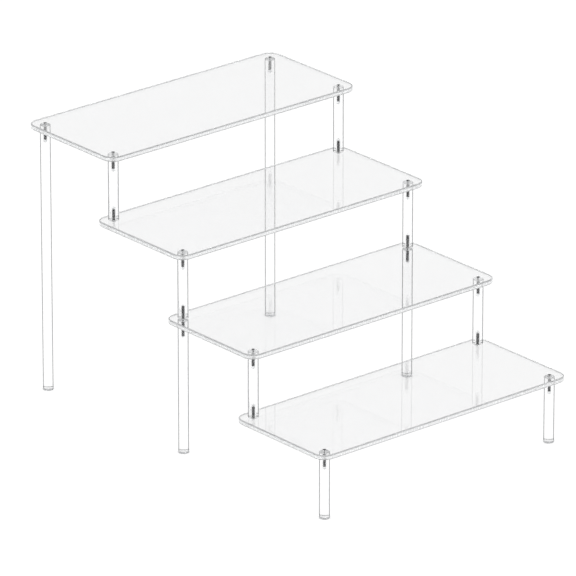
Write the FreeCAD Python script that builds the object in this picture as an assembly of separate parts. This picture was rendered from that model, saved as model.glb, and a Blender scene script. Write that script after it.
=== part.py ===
import FreeCAD, Part
import math
import os

# Free-standing display riser: four clear acrylic shelves that step down towards the front, carried on
# round acrylic legs and spacers. Headless threaded studs in tapped holes hold it together.
# Millimetres. X is the width, -Y the front, +Z up. The origin is on the floor, under the middle of the riser.

Vector = FreeCAD.Vector

# Driving dimensions of the shelves
TIER_COUNT = 4
SHELF_WIDTH = 300.0
SHELF_THICKNESS = 5.0
CORNER_RADIUS = 12.0
EDGE_CHAMFER = 0.8
HOLE_INSET = 13.0
TIER_GOING = 100.0
TIER_RISE = 67.0

# Driving dimensions of the legs, spacers and foot pads
ROD_DIAMETER = 10.0
ROD_CHAMFER = 0.5
TAPPED_DEPTH = 13.0
PAD_THICKNESS = 1.5
PAD_EDGE_ROUND = 0.4

# Driving dimensions of the studs, size M3
STUD_DIAMETER = 3.0
STUD_CHAMFER = 0.35
END_STUD_LENGTH = 16.0
THROUGH_STUD_LENGTH = 30.0
HEX_ACROSS_FLATS = 1.5
HEX_DEPTH = 1.8
DRILL_POINT_ANGLE = 118.0

# Where things stand: which hole row and shelf each pair of legs meets
SIDES = {"left": -1, "right": 1}
LEGS = {"front": (0, 1), "middle": (2, 2), "rear": (4, 4)}
TIERS = range(1, TIER_COUNT + 1)

SHELF_DEPTH = TIER_GOING + 2 * HOLE_INSET
HOLE_X = SHELF_WIDTH / 2 - HOLE_INSET


def row_y(row):
    """Y of a row of holes, counted from 0 at the front."""
    return (row - TIER_COUNT / 2) * TIER_GOING


def shelf_top(tier):
    return tier * TIER_RISE


def shelf_underside(tier):
    return shelf_top(tier) - SHELF_THICKNESS


def rounded_outline(width, depth, radius):
    """A closed rectangle about the origin, with an arc for each corner."""
    inner_x = width / 2 - radius
    inner_y = depth / 2 - radius
    corners = [(inner_x, inner_y), (-inner_x, inner_y), (-inner_x, -inner_y), (inner_x, -inner_y)]

    def on_arc(corner, degrees):
        angle = math.radians(degrees)
        return Vector(corner[0] + radius * math.cos(angle), corner[1] + radius * math.sin(angle), 0)

    edges = []
    for index, corner in enumerate(corners):
        start = 90.0 * index
        arc = Part.Arc(on_arc(corner, start), on_arc(corner, start + 45), on_arc(corner, start + 90))
        following = corners[(index + 1) % len(corners)]
        edges.append(arc.toShape())
        edges.append(Part.LineSegment(on_arc(corner, start + 90), on_arc(following, start + 90)).toShape())
    return Part.Wire(edges)


def edges_at(shape, height):
    """The edges that lie flat at one height."""
    return [edge for edge in shape.Edges if all(abs(v.Z - height) < 1e-6 for v in edge.Vertexes)]


def shelf():
    """A slab with round corners, chamfered edges and a tapped hole near each corner, underside at Z = 0."""
    outline = rounded_outline(SHELF_WIDTH, SHELF_DEPTH, CORNER_RADIUS)
    slab = Part.Face(outline).extrude(Vector(0, 0, SHELF_THICKNESS))
    slab = slab.makeChamfer(EDGE_CHAMFER, edges_at(slab, 0) + edges_at(slab, SHELF_THICKNESS))
    for x in (-HOLE_X, HOLE_X):
        for y in (-TIER_GOING / 2, TIER_GOING / 2):
            slab = slab.cut(Part.makeCylinder(STUD_DIAMETER / 2, SHELF_THICKNESS, Vector(x, y, 0)))
    return slab


def tapped_hole(mouth_z, direction):
    """A blind hole on the Z axis from its mouth, with the cone that the drill leaves at its end."""
    axis = Vector(0, 0, direction)
    radius = STUD_DIAMETER / 2
    point = radius / math.tan(math.radians(DRILL_POINT_ANGLE / 2))
    barrel = Part.makeCylinder(radius, TAPPED_DEPTH, Vector(0, 0, mouth_z), axis)
    cone = Part.makeCone(radius, 0, point, Vector(0, 0, mouth_z + direction * TAPPED_DEPTH), axis)
    return barrel.fuse(cone)


def rod(length, tapped_below):
    """A round bar standing on Z = 0, tapped at the top and, for a spacer, at the bottom too."""
    bar = Part.makeCylinder(ROD_DIAMETER / 2, length)
    bar = bar.makeChamfer(ROD_CHAMFER, edges_at(bar, 0) + edges_at(bar, length))
    bar = bar.cut(tapped_hole(length, -1))
    if tapped_below:
        bar = bar.cut(tapped_hole(0, 1))
    return bar


def stud(length, socket_at):
    """A headless threaded stud standing on Z = 0. socket_at is its driven end: "top", "bottom" or None."""
    bar = Part.makeCylinder(STUD_DIAMETER / 2, length)
    bar = bar.makeChamfer(STUD_CHAMFER, edges_at(bar, 0) + edges_at(bar, length))
    if socket_at is None:
        return bar
    hex_radius = HEX_ACROSS_FLATS / 2 / math.cos(math.radians(30))
    floor_z = length - HEX_DEPTH if socket_at == "top" else 0
    angles = [math.radians(60 * corner) for corner in range(7)]
    points = [Vector(hex_radius * math.cos(a), hex_radius * math.sin(a), floor_z) for a in angles]
    socket = Part.Face(Part.makePolygon(points)).extrude(Vector(0, 0, HEX_DEPTH))
    return bar.cut(socket)


def foot_pad():
    """A thin round anti-slip pad, glued under a leg."""
    pad = Part.makeCylinder(ROD_DIAMETER / 2, PAD_THICKNESS)
    return pad.makeFillet(PAD_EDGE_ROUND, edges_at(pad, 0))


def stud_at(tier, row):
    """The stud that joins a shelf to the rod above it, below it or both, at the height where it sits."""
    leg_here = (tier if row == "back" else tier - 1, tier) in LEGS.values()
    rod_below = row == "front" or leg_here
    rod_above = row == "back" and tier < TIER_COUNT
    if rod_below and rod_above:
        middle = shelf_top(tier) - SHELF_THICKNESS / 2
        return stud(THROUGH_STUD_LENGTH, None), middle - THROUGH_STUD_LENGTH / 2
    if rod_below:
        return stud(END_STUD_LENGTH, "top"), shelf_top(tier) - END_STUD_LENGTH
    return stud(END_STUD_LENGTH, "bottom"), shelf_underside(tier)


def save(shape, name, x, y, z):
    shape.translate(Vector(x, y, z))
    shape.exportStep("parts/" + name + ".step")
    print(name, "valid" if shape.isValid() else "NOT VALID", round(shape.Volume, 1))


os.makedirs("parts", exist_ok=True)

for tier in TIERS:
    save(shelf(), "shelf_tier_%d" % tier, 0, row_y(tier - 0.5), shelf_underside(tier))

for side, sign in SIDES.items():
    for place, (row, tier) in LEGS.items():
        leg = rod(shelf_underside(tier) - PAD_THICKNESS, tapped_below=False)
        save(leg, "leg_%s_%s" % (place, side), sign * HOLE_X, row_y(row), PAD_THICKNESS)
        save(foot_pad(), "foot_pad_%s_%s" % (place, side), sign * HOLE_X, row_y(row), 0)

    for tier in TIERS[:-1]:
        spacer = rod(TIER_RISE - SHELF_THICKNESS, tapped_below=True)
        name = "spacer_tier_%d_to_%d_%s" % (tier, tier + 1, side)
        save(spacer, name, sign * HOLE_X, row_y(tier), shelf_top(tier))

    for tier in TIERS:
        for row, row_index in (("front", tier - 1), ("back", tier)):
            piece, bottom_z = stud_at(tier, row)
            save(piece, "stud_tier_%d_%s_%s" % (tier, row, side), sign * HOLE_X, row_y(row_index), bottom_z)
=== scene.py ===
import math

import bmesh
import bpy
from mathutils import Matrix, Vector


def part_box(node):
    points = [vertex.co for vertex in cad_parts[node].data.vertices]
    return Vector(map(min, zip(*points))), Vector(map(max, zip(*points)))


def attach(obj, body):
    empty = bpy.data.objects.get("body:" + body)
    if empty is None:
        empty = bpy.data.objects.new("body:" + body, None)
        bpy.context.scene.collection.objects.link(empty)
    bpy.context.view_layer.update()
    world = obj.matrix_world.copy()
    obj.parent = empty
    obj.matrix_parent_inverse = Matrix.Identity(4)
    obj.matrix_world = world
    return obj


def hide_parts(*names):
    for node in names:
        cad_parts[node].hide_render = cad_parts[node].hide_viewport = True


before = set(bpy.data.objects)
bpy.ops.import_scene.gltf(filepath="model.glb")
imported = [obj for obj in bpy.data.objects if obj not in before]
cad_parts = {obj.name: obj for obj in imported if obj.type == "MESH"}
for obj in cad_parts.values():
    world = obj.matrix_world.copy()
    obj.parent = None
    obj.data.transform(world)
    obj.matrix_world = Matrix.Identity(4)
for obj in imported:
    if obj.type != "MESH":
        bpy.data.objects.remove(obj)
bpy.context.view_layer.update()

# Sizes in metres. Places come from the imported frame.
MM = 0.001
SHELF_CORNER = 12 * MM
SHELF_ARRIS = 0.8 * MM
# A strip of the edge face beside each arris, painted grey with it: it widens the painted shade line.
ARRIS_SHADE_STRIP = 0.45 * MM
ROD_ARRIS = 0.5 * MM
TAPPED_DEPTH = 13 * MM
DRILL_POINT = 0.9 * MM
THREAD_PITCH = 0.5 * MM
CREST_FLAT = 0.2  # share of the pitch
STUD_THREAD_DEPTH = 0.26 * MM
TAPPED_THREAD_DEPTH = 0.1 * MM
THREAD_CLEARANCE = 0.03 * MM
COUNTERSINK = 0.3 * MM
STUD_CHAMFER = 0.35 * MM
SOCKET_FLATS = 1.5 * MM
SOCKET_DEPTH = 1.6 * MM
SOCKET_POINT = 0.4 * MM
PAD_ROUND = 0.45 * MM
PAD_BREAK = 0.15 * MM
PAD_DISH = 0.25 * MM
PAD_DISH_RADII = (0.45, 0.62)  # shares of the pad's radius, at the dish's flat top and at its mouth
AIR_GAP = 0.02 * MM
FLUSH = 1 * MM

# How finely the shapes are drawn
CORNER_STEPS = 20
ROD_COLUMNS = 96
THREAD_COLUMNS = 24
ROWS_PER_PITCH = 4
PAD_ROUND_STEPS = 6
SHARP_ANGLE = math.radians(28)

# Material slots of the acrylic pieces. CUT is a sheet's edge or a bar's end. ARRIS is painted grey, a
# painted shade line along each arris and countersink.
POLISHED, CUT, ARRIS, THREAD = range(4)

TIERS = (1, 2, 3, 4)
SIDES = ("left", "right")
ROWS = ("front", "back")
LEG_PLACES = ("front", "middle", "rear")


# ---------------------------------------------------------------- places, from the frame

def centre_of(node):
    low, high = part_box(node)
    return (Vector(low) + Vector(high)) / 2


def span_z(node):
    low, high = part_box(node)
    return low[2], high[2]


def size_of(node):
    low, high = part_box(node)
    return Vector(high) - Vector(low)


# ---------------------------------------------------------------- shapes

def ring(radius, z, columns):
    """A level ring of points about the Z axis. radius is a length, or a function of angle and z."""
    points = []
    for column in range(columns):
        angle = 2 * math.pi * column / columns
        r = radius(angle, z) if callable(radius) else radius
        points.append(Vector((r * math.cos(angle), r * math.sin(angle), z)))
    return points


def hex_radius(angle, _):
    """The outline of the hex socket, as a radius."""
    off_flat = (angle + math.pi / 6) % (math.pi / 3) - math.pi / 6
    return SOCKET_FLATS / 2 / math.cos(off_flat)


def thread_radius(crest, depth):
    """A right-hand thread of that depth and outer radius, as a function of angle and z."""
    def radius(angle, z):
        turn = (z / THREAD_PITCH - angle / (2 * math.pi)) % 1
        rise = min(abs(2 * turn - 1) / (1 - CREST_FLAT), 1)
        return crest - depth * (1 - rise)
    return radius


def tapped_hole():
    """The outer radius of the tapped holes, and that of their thread as a function of angle and z."""
    crest = size_of("stud_tier_1_front_left").x / 2 + THREAD_CLEARANCE
    return crest, thread_radius(crest, TAPPED_THREAD_DEPTH)


def thread_levels(low, high):
    """Heights from low to high, close enough together to draw the thread."""
    count = max(2, round(abs(high - low) / THREAD_PITCH * ROWS_PER_PITCH))
    return [low + (high - low) * i / count for i in range(count + 1)]


def join_rings(mesh, first, second, slot):
    """Fills the band between two rings about one axis, which may have different numbers of points."""
    n, m = len(first), len(second)
    i = j = 0
    while i < n or j < m:
        a, b = first[i % n], second[j % m]
        next_a, next_b = first[(i + 1) % n], second[(j + 1) % m]
        if n == m:
            corners = (a, next_a, next_b, b)
            i, j = i + 1, j + 1
        elif (i + 1) * m <= (j + 1) * n:
            corners = (a, next_a, b)
            i += 1
        else:
            corners = (a, next_b, b)
            j += 1
        mesh.faces.new(corners).material_index = slot


def stack(mesh, bands):
    """Skins a run of rings and returns the first and last.

    Each band is a ring of points and the material slot of the faces that lead up to it. No faces lead
    up to the first ring, so its slot isn't used."""
    previous = first = [mesh.verts.new(p) for p in bands[0][0]]
    for points, slot in bands[1:]:
        current = [mesh.verts.new(p) for p in points]
        join_rings(mesh, previous, current, slot)
        previous = current
    return first, previous


def close_ring(mesh, points, tip, slot):
    """Closes a ring with a fan of triangles to one point."""
    centre = mesh.verts.new(tip)
    for i, point in enumerate(points):
        mesh.faces.new((point, points[(i + 1) % len(points)], centre)).material_index = slot


def make_piece(mesh, name, place, materials):
    """Turns a bmesh into the visible piece that stands for the CAD node of the same name."""
    bmesh.ops.recalc_face_normals(mesh, faces=mesh.faces)
    data = bpy.data.meshes.new(name + "_mesh")
    mesh.to_mesh(data)
    mesh.free()
    data.transform(Matrix.Translation(place))
    data.shade_smooth()
    data.set_sharp_from_angle(angle=SHARP_ANGLE)
    for material in materials:
        data.materials.append(material)
    piece = bpy.data.objects.new(name + "_look", data)
    bpy.context.scene.collection.objects.link(piece)
    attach(piece, "root")
    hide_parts(name)
    return piece


def let_light_through(piece):
    """Clear acrylic hardly dims what it stands over, so it casts no shadow and no tint on the floor."""
    piece.visible_shadow = False
    piece.visible_diffuse = False
    return piece


# ---------------------------------------------------------------- shelves

def rounded_outline(width, depth, inset, z):
    """The shelf's outline, drawn in from its edge by inset."""
    radius = SHELF_CORNER - inset
    x, y = width / 2 - SHELF_CORNER, depth / 2 - SHELF_CORNER
    points = []
    for corner, (cx, cy) in enumerate([(x, y), (-x, y), (-x, -y), (x, -y)]):
        for step in range(CORNER_STEPS + 1):
            angle = math.pi / 2 * (corner + step / CORNER_STEPS)
            points.append(Vector((cx + radius * math.cos(angle), cy + radius * math.sin(angle), z)))
    return points


def loop_edges(mesh, points):
    """The edges round a ring of vertices, made where they don't exist yet."""
    pairs = zip(points, points[1:] + points[:1])
    return [mesh.edges.get(pair) or mesh.edges.new(pair) for pair in pairs]


def build_shelf(tier, materials):
    """A sheet with satin edges, scraped arrises painted grey as a painted shade line, and a tapped hole in
    each corner.
    """
    name = "shelf_tier_%d" % tier
    width, depth, thickness = size_of(name)
    middle = centre_of(name)
    low, high = -thickness / 2, thickness / 2
    mesh = bmesh.new()
    bottom, top = stack(mesh, [
        (rounded_outline(width, depth, SHELF_ARRIS, low), POLISHED),
        (rounded_outline(width, depth, 0, low + SHELF_ARRIS), ARRIS),
        # The arris's painted shade runs on over a strip of the edge face.
        (rounded_outline(width, depth, 0, low + SHELF_ARRIS + ARRIS_SHADE_STRIP), ARRIS),
        (rounded_outline(width, depth, 0, high - SHELF_ARRIS - ARRIS_SHADE_STRIP), CUT),
        (rounded_outline(width, depth, 0, high - SHELF_ARRIS), ARRIS),
        (rounded_outline(width, depth, SHELF_ARRIS, high), ARRIS),
    ])
    bottom_edges, top_edges = loop_edges(mesh, bottom), loop_edges(mesh, top)

    crest, thread = tapped_hole()
    for row in ROWS:
        for side in SIDES:
            stud = centre_of("stud_tier_%d_%s_%s" % (tier, row, side))
            shift = Vector((stud.x - middle.x, stud.y - middle.y, 0))

            def at(radius, z):
                # The thread is cut by its height above the floor, so that it meshes with the stud's.
                level = ring(radius, z + middle.z, THREAD_COLUMNS)
                return [p + shift - Vector((0, 0, middle.z)) for p in level]

            bands = [(at(crest + COUNTERSINK, low), POLISHED), (at(crest, low + COUNTERSINK), ARRIS)]
            levels = thread_levels(low + COUNTERSINK, high - COUNTERSINK)
            bands += [(at(thread, z), THREAD) for z in levels[1:-1]]
            bands += [(at(crest, high - COUNTERSINK), THREAD), (at(crest + COUNTERSINK, high), ARRIS)]
            first, last = stack(mesh, bands)
            bottom_edges += loop_edges(mesh, first)
            top_edges += loop_edges(mesh, last)

    for edges in (bottom_edges, top_edges):
        bmesh.ops.triangle_fill(mesh, edges=edges, use_beauty=True)
    return let_light_through(make_piece(mesh, name, middle, materials))


# ---------------------------------------------------------------- rods

def tapped_bands(mouth_z, direction, base_z):
    """The rings of a blind tapped hole, from its countersunk mouth to the end of its thread, and its tip.

    direction is 1 for a hole that runs up from its mouth and -1 for one that runs down. base_z is the
    height above the floor that z is counted from."""
    crest, thread = tapped_hole()
    start = mouth_z + direction * COUNTERSINK
    end = mouth_z + direction * TAPPED_DEPTH

    def at(radius, z):
        return [p - Vector((0, 0, base_z)) for p in ring(radius, z + base_z, THREAD_COLUMNS)]

    bands = [(at(crest + COUNTERSINK, mouth_z), CUT), (at(crest, start), ARRIS)]
    bands += [(at(thread, z), THREAD) for z in thread_levels(start, end)[1:-1]]
    bands.append((at(crest - TAPPED_THREAD_DEPTH, end), THREAD))
    tip = Vector((0, 0, end + direction * DRILL_POINT))
    return bands, tip


def build_rod(name, tapped_below, materials):
    """A polished round bar with turned ends, tapped for a stud above and, in a spacer, below."""
    low, high = span_z(name)
    middle = centre_of(name)
    radius = size_of(name).x / 2
    bottom, top = low - middle.z + AIR_GAP, high - middle.z - AIR_GAP
    mesh = bmesh.new()
    end_radius = radius - ROD_ARRIS
    outside = [
        (ring(end_radius, bottom, ROD_COLUMNS), CUT),
        (ring(radius, bottom + ROD_ARRIS, ROD_COLUMNS), ARRIS),
        (ring(radius, top - ROD_ARRIS, ROD_COLUMNS), POLISHED),
        (ring(end_radius, top, ROD_COLUMNS), ARRIS),
    ]
    above, above_tip = tapped_bands(top, -1, middle.z)
    if tapped_below:
        below, below_tip = tapped_bands(bottom, 1, middle.z)
        first, last = stack(mesh, flipped(below) + outside + above)
        close_ring(mesh, first, below_tip, THREAD)
    else:
        first, last = stack(mesh, outside + above)
        close_ring(mesh, first, Vector((0, 0, bottom)), CUT)
    close_ring(mesh, last, above_tip, THREAD)
    return let_light_through(make_piece(mesh, name, middle, materials))


def flipped(bands):
    """The same rings in the opposite order, each band keeping its material slot."""
    slots = [slot for _, slot in bands]
    points = [points for points, _ in bands]
    return list(zip(points[::-1], [0] + slots[:0:-1]))


# ---------------------------------------------------------------- studs

def build_stud(name, driven_end, materials):
    """A headless stud with a rolled thread, chamfered ends and, where it is driven, a hex socket.

    driven_end is 1 for a socket in its upper end, -1 for one in its lower end and 0 for none."""
    low, high = span_z(name)
    middle = centre_of(name)
    crest = size_of(name).x / 2
    thread = thread_radius(crest, STUD_THREAD_DEPTH)
    end_radius = crest - STUD_CHAMFER

    def radius(angle, z):
        from_end = min(z - low, high - z)
        return min(thread(angle, z), end_radius + from_end)

    def at(r, z):
        return [p - Vector((0, 0, middle.z)) for p in ring(r, z, THREAD_COLUMNS)]

    mesh = bmesh.new()
    bands = [(at(radius, z), 0) for z in thread_levels(low, high)]
    for end in (-1, 1):
        if driven_end == end:
            mouth = high if end == 1 else low
            floor = mouth - end * SOCKET_DEPTH
            socket = [(at(hex_radius, mouth), 0), (at(hex_radius, floor), 0)]
            bands = bands + socket if end == 1 else flipped(socket) + bands
    first, last = stack(mesh, bands)
    for end, points in ((-1, first), (1, last)):
        z = (high if end == 1 else low) - middle.z
        depth = SOCKET_DEPTH + SOCKET_POINT if driven_end == end else 0
        close_ring(mesh, points, Vector((0, 0, z - end * depth)), 0)
    return make_piece(mesh, name, middle, materials)


# ---------------------------------------------------------------- foot pads

def build_foot_pad(name, materials):
    """A thin moulded disc with a rounded rim and a shallow dish in its underside."""
    low, high = span_z(name)
    middle = centre_of(name)
    radius = size_of(name).x / 2
    bottom, top = low - middle.z, high - middle.z - AIR_GAP
    dish_top, dish_mouth = (radius * share for share in PAD_DISH_RADII)
    bands = [
        (ring(dish_top, bottom + PAD_DISH, ROD_COLUMNS), 0),
        (ring(dish_mouth, bottom, ROD_COLUMNS), 0),
    ]
    for step in range(PAD_ROUND_STEPS + 1):
        angle = math.pi / 2 * step / PAD_ROUND_STEPS
        r = radius - PAD_ROUND * (1 - math.sin(angle))
        bands.append((ring(r, bottom + PAD_ROUND * (1 - math.cos(angle)), ROD_COLUMNS), 0))
    bands.append((ring(radius, top - PAD_BREAK, ROD_COLUMNS), 0))
    bands.append((ring(radius - PAD_BREAK, top, ROD_COLUMNS), 0))
    mesh = bmesh.new()
    first, last = stack(mesh, bands)
    close_ring(mesh, first, Vector((0, 0, bottom + PAD_DISH)), 0)
    close_ring(mesh, last, Vector((0, 0, top)), 0)
    return make_piece(mesh, name, middle, materials)


# ---------------------------------------------------------------- materials

class Nodes:
    """A material with a Principled shader, and short ways to add nodes to it."""

    def __init__(self, name):
        self.material = bpy.data.materials.new(name)
        self.material.use_nodes = True
        self.tree = self.material.node_tree
        self.shader = self.tree.nodes["Principled BSDF"]
        self.place = self.add("ShaderNodeTexCoord").outputs["Object"]

    def add(self, kind, **settings):
        node = self.tree.nodes.new(kind)
        for name, value in settings.items():
            setattr(node, name, value)
        return node

    def link(self, source, target):
        self.tree.links.new(source, target)

    def set(self, **values):
        for name, value in values.items():
            self.shader.inputs[name.replace("_", " ")].default_value = value

    def stretched(self, scale):
        """Object coordinates multiplied by scale, for a pattern drawn out along an axis."""
        mapping = self.add("ShaderNodeMapping")
        mapping.inputs["Scale"].default_value = scale
        self.link(self.place, mapping.inputs["Vector"])
        return mapping.outputs["Vector"]

    def noise(self, scale, detail=3.0, roughness=0.5, vector=None):
        """Noise with about scale patches to the metre."""
        node = self.add("ShaderNodeTexNoise")
        node.inputs["Scale"].default_value = scale
        node.inputs["Detail"].default_value = detail
        node.inputs["Roughness"].default_value = roughness
        self.link(vector or self.place, node.inputs["Vector"])
        return node.outputs["Fac"]

    def ramp(self, factor, stops):
        """A colour ramp. Each stop is a position and a grey or a colour."""
        node = self.add("ShaderNodeValToRGB")
        for _ in range(len(stops) - 2):
            node.color_ramp.elements.new(0.5)
        for element, (position, colour) in zip(node.color_ramp.elements, stops):
            element.position = position
            element.color = (*colour, 1) if isinstance(colour, tuple) else (colour, colour, colour, 1)
        self.link(factor, node.inputs["Fac"])
        return node.outputs["Color"]

    def map_range(self, value, low, high, to_low, to_high):
        node = self.add("ShaderNodeMapRange")
        ends = {"From Min": low, "From Max": high, "To Min": to_low, "To Max": to_high}
        for socket, number in ends.items():
            node.inputs[socket].default_value = number
        self.link(value, node.inputs["Value"])
        return node.outputs["Result"]

    def math(self, operation, a, b):
        node = self.add("ShaderNodeMath", operation=operation)
        for socket, value in zip(node.inputs, (a, b)):
            if isinstance(value, (int, float)):
                socket.default_value = value
            else:
                self.link(value, socket)
        return node.outputs["Value"]

    def square_on(self):
        """How squarely the surface is seen, from 0 at its outline to 1 face on."""
        node = self.add("ShaderNodeLayerWeight")
        node.inputs["Blend"].default_value = 0.5
        return self.math("SUBTRACT", 1, node.outputs["Facing"])

    def mix_colour(self, factor, linked, constant):
        """Goes from a linked colour to a constant one as factor rises from 0 to 1."""
        node = self.add("ShaderNodeMix", data_type="RGBA")
        self.link(factor, node.inputs["Factor"])
        first, second = (socket for socket in node.inputs if socket.type == "RGBA")
        self.link(linked, first)
        second.default_value = (*constant, 1)
        return next(socket for socket in node.outputs if socket.type == "RGBA")

    def bump(self, height, strength, distance):
        node = self.add("ShaderNodeBump")
        node.inputs["Strength"].default_value = strength
        node.inputs["Distance"].default_value = distance
        self.link(height, node.inputs["Height"])
        self.link(node.outputs["Normal"], self.shader.inputs["Normal"])

    def absorb(self, colour, density):
        """Tints the light that passes through the piece."""
        node = self.add("ShaderNodeVolumeAbsorption")
        node.inputs["Color"].default_value = (*colour, 1)
        node.inputs["Density"].default_value = density
        output = self.tree.nodes["Material Output"]
        self.link(node.outputs["Volume"], output.inputs["Volume"])


ACRYLIC_IOR = 1.49
ACRYLIC_TINT = (0.90, 0.93, 0.94)
ACRYLIC_DENSITY = 0.5
SILICONE_IOR = 1.41
SHEET_TONE = (0.908, 0.909, 0.912)
BAR_TONE = (0.990, 0.991, 0.993)
SMUDGES_ON_SHEET = 18
SMUDGES_ON_BAR = 40

# A bar's side is painted darker towards the tone, a painted shade outline, as square_on falls from the
# first number to the second.
BAR_OUTLINE_PAINTED_SHADE = (0.04, 0.042, 0.045)
BAR_OUTLINE = (0.56, 0.46)


def clear_acrylic(name, tone, smudge_scale):
    """Polished clear acrylic, with faint smudges and hairline scratches. Returns its nodes and colour."""
    nodes = Nodes(name)
    nodes.set(Transmission_Weight=1.0, IOR=ACRYLIC_IOR)
    smudges = nodes.ramp(nodes.noise(smudge_scale, 4, 0.6), [(0.45, 0.0), (0.75, 1.0)])
    hairlines = nodes.noise(900, 2, 0.4, nodes.stretched((1, 0.02, 0.4)))
    scratches = nodes.ramp(hairlines, [(0.66, 0.0), (0.72, 1.0)])
    worn = nodes.math("MAXIMUM", smudges, nodes.math("MULTIPLY", scratches, 0.6))
    nodes.link(nodes.map_range(worn, 0, 1, 0.008, 0.05), nodes.shader.inputs["Roughness"])
    cloudy = tuple(channel - 0.01 for channel in tone)
    colour = nodes.ramp(nodes.noise(30, 2), [(0.3, cloudy), (0.7, tone)])
    nodes.link(colour, nodes.shader.inputs["Base Color"])
    nodes.bump(nodes.noise(35, 2), 0.06, 0.2 * MM)
    nodes.absorb(ACRYLIC_TINT, ACRYLIC_DENSITY)
    return nodes, colour


def bar_side():
    """The round side of a bar. It bends light away near its outline, and a painted shade darkens its colour
    to a thin line there.
    """
    nodes, clear = clear_acrylic("acrylic_bar_side", BAR_TONE, SMUDGES_ON_BAR)
    outline = nodes.map_range(nodes.square_on(), *BAR_OUTLINE, 0, 1)
    # Painted shade: the colour goes towards a near-black tone where the side is seen edge on.
    nodes.link(nodes.mix_colour(outline, clear, BAR_OUTLINE_PAINTED_SHADE), nodes.shader.inputs["Base Color"])
    return nodes.material


def satin_edge():
    """The sheet's edge: sawn and sanded to a white satin, with faint saw lines across its thickness."""
    nodes = Nodes("acrylic_satin_edge")
    nodes.set(Transmission_Weight=0.5, IOR=ACRYLIC_IOR)
    lines = nodes.noise(2600, 2, 0.5, nodes.stretched((1, 1, 0.03)))
    nodes.link(nodes.map_range(lines, 0.3, 0.7, 0.2, 0.32), nodes.shader.inputs["Roughness"])
    tone = nodes.ramp(nodes.noise(60, 2), [(0.3, (0.95, 0.955, 0.96)), (0.7, (0.975, 0.98, 0.985))])
    nodes.link(tone, nodes.shader.inputs["Base Color"])
    nodes.bump(lines, 0.05, 0.05 * MM)
    nodes.absorb(ACRYLIC_TINT, ACRYLIC_DENSITY)
    return nodes.material


def arris_with_painted_shade():
    """A narrow chamfer left by the scraper: matt, with fine drag marks, and painted pale grey, a painted
    shade that draws a dark line along the edge.
    """
    nodes = Nodes("acrylic_arris_with_painted_shade")
    nodes.set(Transmission_Weight=0.4, IOR=ACRYLIC_IOR)
    marks = nodes.noise(1500, 3, 0.6)
    nodes.link(nodes.map_range(marks, 0.3, 0.7, 0.35, 0.6), nodes.shader.inputs["Roughness"])
    # Painted shade: a pale grey that draws the edges as dark lines.
    tone = nodes.ramp(nodes.noise(220, 3), [(0.3, (0.44, 0.445, 0.45)), (0.7, (0.55, 0.555, 0.56))])
    nodes.link(tone, nodes.shader.inputs["Base Color"])
    nodes.bump(marks, 0.25, 0.05 * MM)
    nodes.absorb(ACRYLIC_TINT, ACRYLIC_DENSITY)
    return nodes.material


def tapped_thread():
    """The cut thread inside the acrylic: dull and a little white."""
    nodes = Nodes("acrylic_tapped_thread")
    nodes.set(Transmission_Weight=1.0, IOR=ACRYLIC_IOR)
    marks = nodes.noise(2500, 2, 0.6)
    nodes.link(nodes.map_range(marks, 0.3, 0.7, 0.05, 0.12), nodes.shader.inputs["Roughness"])
    tone = nodes.ramp(nodes.noise(400, 2), [(0.3, (0.93, 0.94, 0.945)), (0.7, (0.97, 0.975, 0.98))])
    nodes.link(tone, nodes.shader.inputs["Base Color"])
    nodes.absorb(ACRYLIC_TINT, ACRYLIC_DENSITY)
    return nodes.material


def stud_steel():
    """Blackened steel with a fine, slightly uneven grain."""
    nodes = Nodes("blackened_stud_steel")
    nodes.set(Metallic=1.0)
    grain = nodes.noise(1200, 3, 0.6)
    tone = nodes.ramp(grain, [(0.3, (0.05, 0.05, 0.052)), (0.7, (0.1, 0.1, 0.103))])
    nodes.link(tone, nodes.shader.inputs["Base Color"])
    nodes.link(nodes.map_range(grain, 0.3, 0.7, 0.28, 0.45), nodes.shader.inputs["Roughness"])
    nodes.bump(grain, 0.15, 0.02 * MM)
    return nodes.material


def pad_silicone():
    """Translucent grey-white silicone."""
    nodes = Nodes("foot_pad_silicone")
    nodes.set(Transmission_Weight=0.55, IOR=SILICONE_IOR)
    grain = nodes.noise(1500, 2, 0.5)
    nodes.link(nodes.map_range(grain, 0.3, 0.7, 0.25, 0.42), nodes.shader.inputs["Roughness"])
    tone = nodes.ramp(nodes.noise(250, 3), [(0.3, (0.80, 0.81, 0.82)), (0.7, (0.9, 0.91, 0.92))])
    nodes.link(tone, nodes.shader.inputs["Base Color"])
    nodes.bump(grain, 0.1, 0.05 * MM)
    return nodes.material


# ---------------------------------------------------------------- the riser

def build_riser():
    arris = arris_with_painted_shade()
    thread = tapped_thread()
    sheet = clear_acrylic("acrylic_sheet", SHEET_TONE, SMUDGES_ON_SHEET)[0].material
    bar_end = clear_acrylic("acrylic_bar_end", BAR_TONE, SMUDGES_ON_BAR)[0].material
    sheet_materials = [sheet, satin_edge(), arris, thread]
    rod_materials = [bar_side(), bar_end, arris, thread]
    steel = [stud_steel()]
    silicone = [pad_silicone()]

    for tier in TIERS:
        build_shelf(tier, sheet_materials)

    for side in SIDES:
        for place in LEG_PLACES:
            build_rod("leg_%s_%s" % (place, side), False, rod_materials)
            build_foot_pad("foot_pad_%s_%s" % (place, side), silicone)
        for tier in TIERS[:-1]:
            build_rod("spacer_tier_%d_to_%d_%s" % (tier, tier + 1, side), True, rod_materials)
        for tier in TIERS:
            for row in ROWS:
                build_stud_at(tier, row, side, steel)


def build_stud_at(tier, row, side, steel):
    """A stud is driven from the end that lies flush with its shelf. A through stud has no such end."""
    name = "stud_tier_%d_%s_%s" % (tier, row, side)
    shelf_low, shelf_high = span_z("shelf_tier_%d" % tier)
    low, high = span_z(name)
    driven_end = 0
    if abs(high - shelf_high) < FLUSH:
        driven_end = 1
    elif abs(low - shelf_low) < FLUSH:
        driven_end = -1
    build_stud(name, driven_end, steel)


# ---------------------------------------------------------------- floor, light and camera

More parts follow.
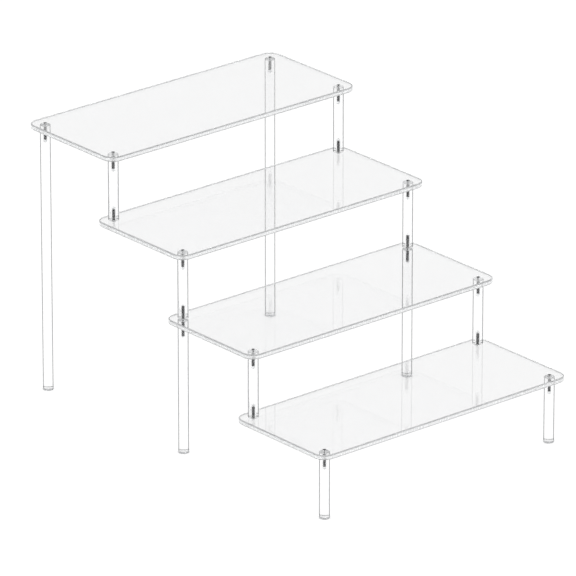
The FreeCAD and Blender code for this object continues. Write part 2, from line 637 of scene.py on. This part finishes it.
CAMERA_AZIMUTH = math.radians(-40.36)
CAMERA_ELEVATION = math.radians(21.83)
CAMERA_DISTANCE = 7.489
CAMERA_TARGET = Vector((-0.0104, 0, 0.1306))
CAMERA_LENS = 504
CAMERA_SENSOR = 36
CAMERA_CLIP = (0.5, 100)
FLOOR_WIDTH = 60
KEY_ENERGY = 0.62
KEY_SPREAD = math.radians(50)
KEY_TILT = (math.radians(28), math.radians(-22), 0)

# The studio's brightness by height, from 0 at the horizon to 1 overhead
STUDIO_STOPS = [(0.0, 1.0), (0.10, 1.0), (0.22, 0.88), (0.62, 0.88), (0.8, 1.0), (1.0, 1.0)]


def make_camera():
    camera = bpy.data.objects.new("camera", bpy.data.cameras.new("camera"))
    bpy.context.scene.collection.objects.link(camera)
    back = Vector((
        math.sin(CAMERA_AZIMUTH) * math.cos(CAMERA_ELEVATION),
        -math.cos(CAMERA_AZIMUTH) * math.cos(CAMERA_ELEVATION),
        math.sin(CAMERA_ELEVATION),
    ))
    camera.location = CAMERA_TARGET + back * CAMERA_DISTANCE
    camera.rotation_mode = "QUATERNION"
    camera.rotation_quaternion = (-back).to_track_quat("-Z", "Y")
    camera.data.lens = CAMERA_LENS
    camera.data.sensor_width = CAMERA_SENSOR
    camera.data.clip_start, camera.data.clip_end = CAMERA_CLIP
    bpy.context.scene.camera = camera


def make_floor():
    """A wide, pale, matt floor."""
    half = FLOOR_WIDTH / 2
    corners = [(-half, -half, 0), (half, -half, 0), (half, half, 0), (-half, half, 0)]
    mesh = bpy.data.meshes.new("floor_mesh")
    mesh.from_pydata(corners, [], [(0, 1, 2, 3)])
    floor = bpy.data.objects.new("floor", mesh)
    bpy.context.scene.collection.objects.link(floor)
    nodes = Nodes("pale_floor")
    nodes.set(Roughness=0.9)
    nodes.shader.inputs["Specular IOR Level"].default_value = 0.1
    tone = nodes.ramp(nodes.noise(3, 3), [(0.3, 0.955), (0.7, 0.97)])
    nodes.link(tone, nodes.shader.inputs["Base Color"])
    mesh.materials.append(nodes.material)


def make_world():
    """A studio, white at the horizon and overhead, with a pale grey band between for gloss to reflect."""
    world = bpy.data.worlds.new("studio")
    bpy.context.scene.world = world
    world.use_nodes = True
    tree = world.node_tree
    direction = tree.nodes.new("ShaderNodeTexCoord").outputs["Generated"]
    height = tree.nodes.new("ShaderNodeSeparateXYZ")
    tree.links.new(direction, height.inputs["Vector"])
    ramp = tree.nodes.new("ShaderNodeValToRGB")
    tree.links.new(height.outputs["Z"], ramp.inputs["Fac"])
    for _ in range(len(STUDIO_STOPS) - 2):
        ramp.color_ramp.elements.new(0.5)
    for element, (position, grey) in zip(ramp.color_ramp.elements, STUDIO_STOPS):
        element.position = position
        element.color = (grey, grey, grey, 1)
    tree.links.new(ramp.outputs["Color"], tree.nodes["Background"].inputs["Color"])


def make_key_light():
    """One large soft light, high up at the front left."""
    light = bpy.data.lights.new("key", "SUN")
    light.energy = KEY_ENERGY
    light.angle = KEY_SPREAD
    lamp = bpy.data.objects.new("key", light)
    lamp.rotation_euler = KEY_TILT
    bpy.context.scene.collection.objects.link(lamp)


def set_light_paths():
    """Light bounces many times inside a clear sheet before it leaves. Its tones are shown as they are."""
    cycles = bpy.context.scene.cycles
    cycles.max_bounces = 48
    cycles.glossy_bounces = 32
    cycles.transmission_bounces = 48
    cycles.transparent_max_bounces = 48
    bpy.context.scene.view_settings.view_transform = "Standard"


build_riser()
make_floor()
make_world()
make_key_light()
make_camera()
set_light_paths()
